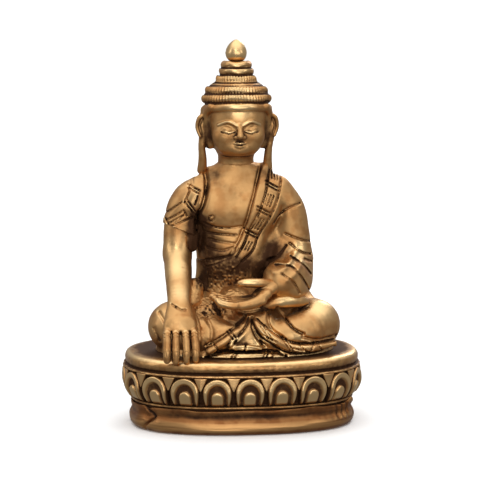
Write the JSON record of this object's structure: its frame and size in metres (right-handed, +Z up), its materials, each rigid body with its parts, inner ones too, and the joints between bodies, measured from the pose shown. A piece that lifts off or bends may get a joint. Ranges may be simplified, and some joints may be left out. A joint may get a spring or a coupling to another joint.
{
  "type": "seated buddha statue",
  "caption": "Small cast brass seated earth-touching figure on an oval lotus pedestal, hollow and filled, closed below by a folded sheet.",
  "frame": {"origin": "middle of the flat underside of the base sheet", "axes": "+Z up, the figure faces -Y, +X to the figure's left"},
  "size_m": [0.0564, 0.0396, 0.09],
  "materials": {
    "cast_brass": "polished brass with dark brown patina left in the recesses",
    "sheet_brass": "dull hand-folded sheet, rubbed bright on its edges",
    "pin_brass": "drawn wire, dull",
    "juniper": "bare split wood",
    "paper": "rolled handmade paper",
    "thread": "twisted thread",
    "silk": "folded cloth",
    "cotton": "plain woven bag"
  },
  "bodies": {
    "root": {"pedestal": "cast_brass", "base_sheet": "sheet_brass", "body": "cast_brass", "head": "cast_brass", "jewel": "cast_brass", "right_forearm": "cast_brass", "left_hand": "cast_brass", "neck_pin": "pin_brass", "arm_pins": "pin_brass", "seat_wedges": "pin_brass", "core_plugs": "pin_brass", "cloth_pad": "silk", "life_tree": "juniper", "seat_scrolls": "paper", "bundle_tie": "thread", "grain_bags": "cotton", "heart_scroll": "paper", "relic_packet": "silk", "heart_tie": "thread", "crown_scroll": "paper", "crown_tie": "thread"}
  },
  "joints": []
}
